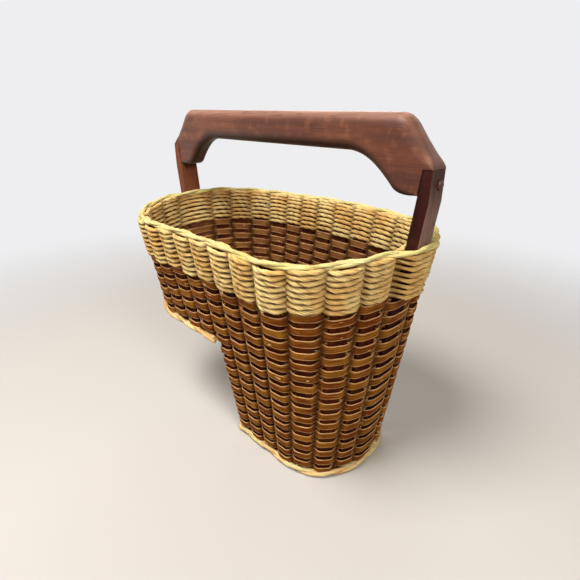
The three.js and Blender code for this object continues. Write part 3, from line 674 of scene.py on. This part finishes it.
def grip_light_and_shade(tree, color, figure):
    """Painted highlight on the top, painted shade on the underside and on the ends."""
    up = facing_parts(tree)[2]
    # painted highlight on the top, in patches along the grain
    painted_highlight = times(tree, span(tree, up, 0.15, 0.9), span(tree, figure, 0.3, 0.7, 1.0, 0.35))
    color = mix(tree, painted_highlight, color, linear(168, 126, 106))
    # painted shade on the underside
    color = mix(tree, span(tree, up, -0.02, -0.6, 0.0, 0.95), color, linear(40, 19, 9))
    # painted shade on the faces that look towards the ends
    return mix(tree, span(tree, outward(tree), 0.25, 0.85, 0.0, 0.7), color, GRIP_TONES[-1])


def wood_finish(name, tones, axis, scale, roughness, specular, painted_light_and_tone=None, sheen=0.0):
    """Wood: grain stretched along one axis, clouds of a lighter tone, pores, and a piece's own painted light
    and shade, with any tone of its own.
    """
    body, light, dark = tones
    material, tree, shader = new_finish(name, roughness, specular)
    shader.inputs["Sheen Weight"].default_value = sheen
    shader.inputs["Sheen Tint"].default_value = linear(255, 226, 212)
    place = object_place(tree)
    stretch = [1.0, 1.0, 1.0]
    stretch[axis] = 0.06
    long = put(tree, "ShaderNodeMapping", {"Vector": place, "Scale": stretch}).outputs[0]
    figure = noise(tree, long, scale, 4.0, 0.6)
    pores = noise(tree, long, scale * 9, 2.0, 0.5)
    cloud = noise(tree, place, 7.0, 2.0)
    color = mix(tree, span(tree, figure, 0.34, 0.66), body, dark)
    color = mix(tree, span(tree, cloud, 0.45, 0.75, 0.0, 0.6), color, light)
    color = mix(tree, span(tree, noise(tree, place, 60.0, 3.0, 0.6), 0.5, 0.7, 0.0, 0.4), color, light)
    # painted highlight, reflection and shade for the piece, and the upper post's own lighter tone
    if painted_light_and_tone:
        color = painted_light_and_tone(tree, color, figure)
    color = mix(tree, span(tree, pores, 0.53, 0.7, 0.0, 0.65), color, dark)
    gloss = span(tree, figure, 0.2, 0.8, roughness - 0.07, roughness + 0.1)
    tree.links.new(gloss, shader.inputs["Roughness"])
    paint(tree, shader, color, pores, 0.25, 0.0005)
    return material


def bronze_finish():
    """Metal of the pins, dulled in patches."""
    material, tree, shader = new_finish("dulled bronze", 0.45, 0.5)
    shader.inputs["Metallic"].default_value = 0.7
    patina = noise(tree, object_place(tree), 320.0, 3.0)
    color = mix(tree, span(tree, patina, 0.35, 0.7), linear(92, 64, 52), linear(54, 36, 29))
    paint(tree, shader, color, patina, 0.2, 0.0004)
    return material


BROWN_REED = reed_finish("brown reed", body=linear(158, 104, 32), warm=linear(122, 58, 11),
                         light=linear(202, 143, 58), edge=linear(230, 182, 128), dark=linear(56, 23, 4),
                         inner=linear(146, 106, 70))
NATURAL_CORD = fibre_finish("natural cord", body=linear(236, 192, 118), pale=linear(255, 230, 160),
                            dark=linear(100, 58, 20))
PALE_ROPE = fibre_finish("pale rope", body=linear(220, 212, 138), pale=linear(238, 228, 168),
                         dark=linear(176, 144, 84), low=linear(236, 192, 132))
DARK_SLAT = wood_finish("dark slat", SLAT_TONES, ALONG_Z, 60.0, 0.7, 0.1)
HARDWOOD = wood_finish("oiled hardwood", GRIP_TONES, ALONG_X, 55.0, 0.42, 0.3, grip_light_and_shade, sheen=0.2)
POST_WOOD = wood_finish("post hardwood", POST_TONES, ALONG_Z, 55.0, 0.55, 0.12, post_reflection_and_tone)
BRONZE = bronze_finish()

# The weave

REED_WEAVE = weave_tree("reed over and under", flat_section, Width=0.007, Corner=REED_CORNER * MM)
CORD_WEAVE = weave_tree("cord over and under", round_section, Lobe=0.06)
LAID = rope_tree()


def reed_rows(name, ring, first, count):
    """Rows of reed round a ring, each over the slats that the last one went under."""
    guide = Guide(name)
    for row in range(first, first + count):
        points, column, out = loop_at(LEG_FOOT + ROW * (row + 0.5), ring)
        guide.run(points, True, phase=column + row, row=row, out=out,
                  reach=(REED_OUT + REED_IN) / 2 * MM, set=(REED_OUT - REED_IN) / 2 * MM,
                  sag=REED_SAG * MM, twist=0)
    return grow(guide, REED_WEAVE, BROWN_REED, Crest=0.88, Pinch=-0.2, Sway=0.0022,
                Thickness=REED_THICKNESS * MM, Width=REED_HEIGHT * MM, Corner=REED_CORNER * MM,
                Uneven=0.12, Seed=1.0)


dress(reed_rows("upper_weave", full_ring, LEG_ROWS, UPPER_ROWS), "brown_reed", "upper_wall")
dress(reed_rows("leg_weave", leg_ring, 0, LEG_ROWS), "brown_reed", "leg_wall", "riser_panel")


def cord_rows():
    """The band. At a post the cords swing out and back to clear its thickness."""
    guide = Guide("cord_weave")
    for row in range(CORD_ROWS):
        share = row / (CORD_ROWS - 1)
        climb = (share - CORD_CROWDING * share ** 8) / (1 - CORD_CROWDING)
        z = CORD_FOOT + CORD / 2 + (WEAVE_TOP + RIM_TUCK - CORD - CORD_FOOT) * climb
        sag = CORD_SAG * (1 - 0.8 * share ** 6 - 0.3 * (1 - share) ** 4)  # the first and last rows sag less
        points, column, out = loop_at(z, full_ring)
        away = np.abs((column + RING_COLUMNS / 4) % (RING_COLUMNS / 2) - RING_COLUMNS / 4)
        post = smooth(0.5 - away, 0, POST_SWING)
        reach = (CORD_OUT + CORD_IN) / 2
        reach = reach + post * (POST_THICKNESS / 2 + CORD / 2 - reach)
        end = np.where(points[:, 0] > 0, wall(z, True)[1], wall(z, False)[1])
        level = (CORD_OUT - CORD_IN) / 2
        set_out = level + post * (post_axis(points[:, 2]) - end - level)
        twist = np.arange(len(points)) / len(points) * (CORD_TURNS + row % 3)
        guide.run(points, True, phase=column + row, row=row, out=out,
                  reach=reach * MM, set=set_out * MM, sag=sag * MM, twist=twist)
    return grow(guide, CORD_WEAVE, NATURAL_CORD, Crest=1.0, Pinch=-0.08, Sway=0.003,
                Thickness=CORD * MM, Lobe=0.08, Uneven=0.24, Seed=5.0)


dress(cord_rows(), "natural_cord", "cord_band")

# Floors: reed across the ribs

FLOOR_ROW = 50  # the floors' rows are numbered from here, so that their tones differ from the walls'


def floor_rows(name, leg, level, riser_side):
    """Rows of reed across a floor, from the riser to the round end."""
    half, end, rounding = wall(level, leg)
    sign = 1 if leg else -1
    edge = FOOT_ROPE_SET + FOOT_ROPE_OUT - FOOT_ROPE_FULL / 2 + FLOOR_TUCK
    z = level + FOOT_ROPE - FIT - FLOOR / 2
    pitch = 2 * half / (RISER_SLATS + 1)
    guide = Guide(name)
    count = round((end + edge - sign * riser_side) / ROW)
    gap = (end + edge - sign * riser_side) / count
    for row in range(count):
        run = sign * riser_side + gap * (row + 0.5)
        bow = np.clip((run - (end - rounding)) / (rounding + edge), 0, 1)
        width = (half + edge) * (1 - bow ** ROUNDNESS) ** (1 / ROUNDNESS)
        if not leg and run < BESIDE_RISER:
            width = half - 3 if run < 0 else half + 2  # inside the leg's corner, and at the wall
        steps = max(int(2 * width / pitch * STEPS), 16)
        y = np.linspace(-width, width, steps)
        points = np.stack([np.full(steps, sign * run), y, np.full(steps, z)], 1)
        up = np.tile([0.0, 0.0, 1.0], (steps, 1))
        reach = (RIB + FLOOR_REED) / 2 * smooth(width - np.abs(y), *FLOOR_FLAT)
        guide.run(points, False, phase=y / pitch + row, row=FLOOR_ROW + row, out=up,
                  reach=reach * MM, set=0, sag=0, twist=0)
    return grow(guide, REED_WEAVE, BROWN_REED, Crest=0.62, Pinch=0.0, Thickness=FLOOR_REED * MM,
                Width=FLOOR_REED_WIDTH * MM, Corner=REED_CORNER * MM, Uneven=0.06, Seed=9.0)


UPPER_FLOOR_FROM = RISER_FACE + WALL
LEG_FLOOR_FROM = RISER_ROPE + FOOT_ROPE / 2 + FIT
dress(floor_rows("upper_floor_weave", False, STEP, UPPER_FLOOR_FROM), "brown_reed", "upper_floor")
dress(floor_rows("leg_floor_weave", True, 0, LEG_FLOOR_FROM), "brown_reed", "leg_floor")

# Ropes


def laid_rope(name, points, out, closed, turns, diameter, seed):
    """A rope of two strands along a path, with guide points every few millimetres."""
    if closed:
        points = np.concatenate([points, points[:1]])
        out = np.concatenate([out, out[:1]])
    length = np.append(0, np.cumsum(np.linalg.norm(np.diff(points, axis=0), axis=1)))
    share = np.linspace(0, 1, int(length[-1] / ROPE_STEP) + 1)
    if closed:
        share = share[:-1]
    points, out = (np.stack([np.interp(share, length / length[-1], line) for line in each.T], 1)
                   for each in (points, out))
    guide = Guide(name)
    turn = share * turns + 0.25  # at a cut end one strand lies on the other
    guide.run(points, closed, turn=turn, twist=turn * 2, out=out, row=seed)
    strand = STRAND * diameter * MM
    return grow(guide, LAID, PALE_ROPE, Strands=2, Lay=(diameter * MM - strand) / 2, Thickness=strand,
                Lobe=0.06, Uneven=0.22, Sway=0.0008, Seed=float(seed))


def rim_path():
    """The rim rope's middle: on the weave, outside the leg's post and inside the other one."""
    points, _, out = loop_at(WEAVE_TOP, full_ring, RIM_STEPS)
    out = level_out(out)
    level = RIM_ROPE_GAP + RIM_ROPE / 2
    beside = POST_THICKNESS / 2 + FIT + RIM_ROPE / 2
    post = post_axis(WEAVE_TOP + level + END_RISE) - RIM_LENGTH / 2
    straight = np.minimum(RIM_LENGTH / 2 - np.abs(points[:, 0]), POST_EDGE)
    passing = np.where(points[:, 0] > 0, post + beside + straight, post - beside)
    clear = smooth(np.abs(points[:, 1]), POST_WIDTH / 2, RIM_SWING * POST_COLUMN)
    swing = passing * (1 - clear) + RIM_ROPE_SET * clear
    return points + out * swing[:, None] + [0, 0, level], out


def foot_path(z, leg):
    """Half of a foot rope's middle on the far side, from the post's end to the corner slat."""
    points = quarter(z, leg)[0][::4, :2] * [1 if leg else -1, 1]
    run = np.gradient(np.concatenate([points[1:2] * [1, -1], points]), axis=0)[1:]
    out = np.stack([run[:, 1], -run[:, 0]], 1) * (1 if leg else -1)
    out /= np.linalg.norm(out, axis=1)[:, None]
    return points + out * (FOOT_ROPE_SET + FOOT_ROPE_OUT), out


def mirrored(points, out, level):
    """Puts the near half of a rope before its far half."""
    points = np.concatenate([(points * [1, -1])[::-1], points[1:]])
    out = np.concatenate([(out * [1, -1])[::-1], out[1:]])
    flat = np.zeros((len(out), 1))
    return np.hstack([points, flat + level + FOOT_ROPE_FULL / 2]), np.hstack([out, flat])


def leg_foot_path():
    """The leg's foot rope: round the end and the sides, and along the riser."""
    points, out = foot_path(0, True)
    turn = np.linspace(0, math.pi / 2, 9)
    bend_out = np.stack([-np.sin(turn), np.cos(turn)], 1)
    bend = [RISER_ROPE + FOOT_CORNER, points[-1, 1] - FOOT_CORNER] + bend_out * FOOT_CORNER
    back = np.linspace(bend[-1, 1], 0, 14)[1:-1]
    back_points = np.stack([np.full(len(back), RISER_ROPE), back], 1)
    out = np.concatenate([out, bend_out, np.tile([-1.0, 0.0], (len(back), 1))])
    return mirrored(np.concatenate([points, bend, back_points]), out, 0)


def upper_foot_path():
    """The upper foot rope: a U that ends at the riser's face."""
    points, out = foot_path(STEP, False)
    clear = points[:, 0] < RISER_FACE - 2  # the last point is set at the riser itself
    points = np.concatenate([points[clear], [[RISER_FACE - FIT, points[-1, 1]]]])
    return mirrored(points, np.concatenate([out[clear], [[0, 1]]]), STEP)


# Node, path, whether it is closed, turns of the lay, thickness, seed
ROPES = (("rim_rope", rim_path, True, 11, RIM_ROPE, 21),
         ("leg_foot_rope", leg_foot_path, True, 6, FOOT_ROPE_FULL, 31),
         ("upper_foot_rope", upper_foot_path, False, 6, FOOT_ROPE_FULL, 41))
for node, path, closed, turns, diameter, seed in ROPES:
    dress(laid_rope(node + "_strands", *path(), closed, turns, diameter, seed), "pale_rope", node)

# Handle


def mesh_piece(name, rings, finish):
    """A solid through rings of points."""
    mesh = bpy.data.meshes.new(name)
    form = bmesh.new()
    tube(form, rings)
    bmesh.ops.recalc_face_normals(form, faces=form.faces)
    form.to_mesh(mesh)
    form.free()
    mesh.materials.append(finish)
    piece = bpy.data.objects.new(name, mesh)
    bpy.context.scene.collection.objects.link(piece)
    return piece


def settle(piece, degrees):
    """Smooths a piece's shading, keeps its sharp edges and applies its modifiers."""
    piece.data.shade_smooth()
    piece.data.set_sharp_from_angle(angle=math.radians(degrees))
    even = piece.modifiers.new("even shading", "WEIGHTED_NORMAL")
    even.keep_sharp = True
    bpy.context.view_layer.update()
    mesh = bpy.data.meshes.new_from_object(piece.evaluated_get(bpy.context.evaluated_depsgraph_get()))
    piece.modifiers.clear()
    piece.data = mesh
    return piece


def tube(form, rings):
    """Closes rings of points, each with the same count, into a solid."""
    rings = [[form.verts.new(Vector(point) * MM) for point in ring] for ring in rings]
    count = len(rings[0])
    for low, high in zip(rings, rings[1:]):
        for k in range(count):
            form.faces.new((low[k], low[(k + 1) % count], high[(k + 1) % count], high[k]))
    form.faces.new(rings[0][::-1])
    form.faces.new(rings[-1])


def bar_ring(middle, z, thickness, width):
    """Section of a post: a rectangle with eased corners."""
    ring = []
    for a, b in ((1, 1), (-1, 1), (-1, -1), (1, -1)):
        for turn in np.linspace(0, math.pi / 2, 4):
            along, over = (math.cos(turn), math.sin(turn)) if a == b else (math.sin(turn), math.cos(turn))
            x = a * (thickness / 2 - POST_EDGE * (1 - along))
            y = b * (width / 2 - POST_EDGE * (1 - over))
            ring.append((middle + x, y, z))
    return ring


def post_piece(name, leg, foot, width):
    """A post: a thin tang in the wall's weave, full size from the band up, upright at the grip."""
    sign = 1 if leg else -1
    path = quarter(BAND_FOOT, leg)
    beside = (POST_WIDTH / 2 + FIT) / path[2]
    rings = []
    for z in np.linspace(foot, BAND_FOOT, 8):
        rings.append(bar_ring(sign * wall(z, leg)[1], z + rise(z, beside), TANG_THICKNESS, POST_WIDTH))
    for z in (BAND_FOOT + FIT + rise(BAND_FOOT, beside), WEAVE_TOP, POST_TOP - POST_UPRIGHT, POST_TOP):
        outer = post_outer(z)
        inner = post_inner(z)
        rings.append(bar_ring(sign * (outer + inner) / 2, z, outer - inner, width))
    return settle(mesh_piece(name, rings, POST_WOOD), 40)


dress(post_piece("leg_post_wood", True, LEG_FOOT, POST_WIDTH), "post_wood", "leg_post")
dress(post_piece("upper_post_wood", False, UPPER_FOOT, UPPER_POST_WIDTH), "post_wood", "upper_post")


def curve_points(controls, steps):
    """Points of a Bezier curve of any order, with everything its control points carry."""
    controls = np.array(controls, float)
    order = len(controls) - 1
    t = np.linspace(0, 1, steps + 1)[:, None]
    weights = [math.comb(order, k) * t ** k * (1 - t) ** (order - k) for k in range(order + 1)]
    return sum(weight * control for weight, control in zip(weights, controls))


def stepped(x, z, steps):
    """Points at steps back from x and down from z, with the rounding there."""
    return [(x - back, z - down, edge) for back, down, edge in steps]


def half_grip(low):
    """Half of the grip from the side, from its underside to its top: x, z and the rounding there."""
    under = GRIP_TOP - GRIP_DEPTH
    inner = post_inner(LIP) - FIT
    shelf = POST_TOP + FIT
    outer = post_outer(POST_TOP)
    toe = stepped(inner, low, TOE)
    half = [(0, under, GRIP_EDGE)]
    half.extend(curve_points(stepped(inner, under, KNEE) + toe[:1], 16))
    half.extend(curve_points(toe, 8)[1:])
    half += [(inner, low, LIP_EDGE), (post_inner(shelf) - FIT, shelf, LIP_EDGE), (outer, shelf, LIP_EDGE)]
    half.extend(curve_points(stepped(outer, POST_TOP, SHOULDER), 8))
    half.extend(stepped(outer, POST_TOP, SLANT))
    half.extend(curve_points(stepped(outer, GRIP_TOP, TOP_CORNER), 8))
    half.append((0, GRIP_TOP, GRIP_EDGE))
    return np.array(half, float)


def grip_outline():
    """The whole grip, anticlockwise."""
    return np.concatenate([half_grip(LIP), half_grip(LOW_LIP)[-2:0:-1] * [-1, 1, 1]])


def rounded_plank(outline, width, steps):
    """Rings of a plank of that outline whose long edges are rounded over."""
    line = outline[:, :2]
    edge = outline[:, 2]
    forward = np.roll(line, -1, 0) - line
    forward /= np.linalg.norm(forward, axis=1)[:, None]
    inward = np.stack([-forward[:, 1], forward[:, 0]], 1)
    meet = inward + np.roll(inward, 1, 0)
    meet /= (meet * inward).sum(1)[:, None]
    rings = []
    for side in (-1, 1):
        for k in range(steps + 1)[::side]:
            a = math.pi / 2 * k / steps
            ring = line + meet * (EDGE_SPREAD * edge * (1 - math.cos(a)))[:, None]
            y = side * (width / 2 - edge * (1 - math.sin(a)))
            rings.append(np.column_stack([ring[:, 0], y, ring[:, 1]]))
    return rings


grip_rings = rounded_plank(grip_outline(), POST_WIDTH, 8)
dress(settle(mesh_piece("handle_grip", grip_rings, HARDWOOD), 36), "hardwood", "grip")


def turned_pin(sign):
    """Rings of a domed pin head with a turned edge, and its shank, square to the post's outer face."""
    shank = PIN_SHANK / 2
    head = PIN_HEAD / 2
    profile = [(shank, -PIN_DEPTH), (shank, -0.2), (head - 0.4, 0.1), (head, 0.5), (head, 1)]
    profile += [(head * math.cos(a), 1 + PIN_DOME * math.sin(a)) for a in np.linspace(0.2, 1.45, 7)]
    seat = Matrix.Translation((post_outer(PIN_LEVEL), PIN_SIDE, PIN_LEVEL))
    seat = seat @ Matrix.Rotation(math.pi / 2, 4, "Y")
    if sign < 0:
        seat = Matrix.Rotation(math.pi, 4, "Z") @ seat
    turns = np.linspace(0, 2 * math.pi, 29)[:-1]
    return [[seat @ Vector((r * math.cos(a), r * math.sin(a), h)) for a in turns] for r, h in profile]


for end, sign in (("leg", 1), ("upper", -1)):
    pin = mesh_piece(end + "_pin_dome", turned_pin(sign), BRONZE)
    dress(settle(pin, 40), "bronze", end + "_handle_pin")

# Slats and ribs keep their solids and get their wood
for name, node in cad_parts.items():
    if "slat" in name or "rib" in name:
        node.data.materials.clear()
        node.data.materials.append(DARK_SLAT)

# Studio

BACKGROUND = linear(238, 238, 240)
FLOOR_TONES = (linear(204, 203, 202), linear(212, 211, 210))
FLOOR_BOUNCE = linear(128, 116, 104)  # the floor as it throws light back at the basket
FLOOR_SIZE = 12
FLOOR_FADE = (0.45, 1.5)  # distances over which the floor runs into the background
ROOM_LIGHT = linear(244, 224, 202)
ROOM_STRENGTH = 0.15
WARM = (1.0, 0.94, 0.86)
SOFT = (1.0, 0.95, 0.88)
# Name, place, size, watts and colour of each lamp
LAMPS = (("key", (1.7, -0.6, 1.3), 0.8, 20, WARM),
         ("fill", (-0.4, -1.8, 1.0), 1.2, 10, SOFT),
         ("over", (-0.1, -0.8, 1.9), 0.9, 35, WARM),
         ("back", (-1.3, 1.5, 1.1), 1.4, 14, SOFT))
LAMP_AIM = Vector((0, 0, 0.25))
PHOTO_WIDTH = 580  # in pixels, and so is the focal length
PHOTO_FOCAL = 423.1
SENSOR = 36
CAMERA_PLACE = (0.4863, -0.4502, 0.5249)
CAMERA_LOOK = (-0.6531, 0.6435, -0.3991)


def seen_directly(tree):
    """1 for what the camera sees, also in gloss and through glass, 0 for light that reaches the basket."""
    path = put(tree, "ShaderNodeLightPath").outputs
    mirrored_too = math_node(tree, "MAXIMUM", path["Is Camera Ray"], path["Is Glossy Ray"])
    return math_node(tree, "MAXIMUM", mirrored_too, path["Is Transmission Ray"])


def pale_floor():
    """Floor that takes the basket's shadow and runs into the background further out."""
    mesh = bpy.data.meshes.new("studio_floor")
    corners = [(x * FLOOR_SIZE, y * FLOOR_SIZE, 0) for x, y in ((-1, -1), (1, -1), (1, 1), (-1, 1))]
    mesh.from_pydata(corners, [], [(0, 1, 2, 3)])
    floor = bpy.data.objects.new("studio_floor", mesh)
    bpy.context.scene.collection.objects.link(floor)
    material, tree, shader = new_finish("pale floor", 0.9, 0.1)
    place = object_place(tree)
    cloud = noise(tree, place, 1.5, 2.0)
    seen = seen_directly(tree)
    pale = mix(tree, cloud, *FLOOR_TONES)
    tree.links.new(mix(tree, seen, FLOOR_BOUNCE, pale), shader.inputs["Base Color"])
    far = put(tree, "ShaderNodeVectorMath", {0: place}, operation="LENGTH").outputs["Value"]
    share = times(tree, span(tree, far, *FLOOR_FADE), seen)
    glow = put(tree, "ShaderNodeEmission", {"Color": BACKGROUND, "Strength": 1.0})
    blend = put(tree, "ShaderNodeMixShader", {0: share, 1: shader.outputs[0], 2: glow.outputs[0]})
    tree.links.new(blend.outputs[0], tree.nodes["Material Output"].inputs["Surface"])
    mesh.materials.append(material)


def soft_room():
    """A pale room to look at, a faint warm light from all sides, and lamps."""
    world = bpy.data.worlds.new("soft room")
    bpy.context.scene.world = world
    world.use_nodes = True
    tree = world.node_tree
    back = tree.nodes["Background"]
    seen = seen_directly(tree)
    tree.links.new(mix(tree, seen, ROOM_LIGHT, BACKGROUND), back.inputs["Color"])
    tree.links.new(span(tree, seen, 0.0, 1.0, ROOM_STRENGTH, 1.0, False), back.inputs["Strength"])
    for name, place, size, power, color in LAMPS:
        lamp = bpy.data.lights.new(name, "AREA")
        lamp.shape = "DISK"
        lamp.size = size
        lamp.energy = power
        lamp.color = color
        holder = bpy.data.objects.new(name, lamp)
        holder.location = place
        holder.rotation_euler = (LAMP_AIM - Vector(place)).to_track_quat("-Z", "Y").to_euler()
        bpy.context.scene.collection.objects.link(holder)


def photo_camera():
    """The photo's camera, as it was fitted to the basket."""
    lens = bpy.data.cameras.new("photo_view")
    lens.sensor_width = SENSOR
    lens.lens = PHOTO_FOCAL / PHOTO_WIDTH * SENSOR
    lens.clip_start = 0.01
    camera = bpy.data.objects.new("photo_view", lens)
    camera.location = CAMERA_PLACE
    camera.rotation_euler = Vector(CAMERA_LOOK).to_track_quat("-Z", "Y").to_euler()
    bpy.context.scene.collection.objects.link(camera)
    bpy.context.scene.camera = camera


bpy.context.scene.view_settings.view_transform = "Standard"
pale_floor()
soft_room()
photo_camera()
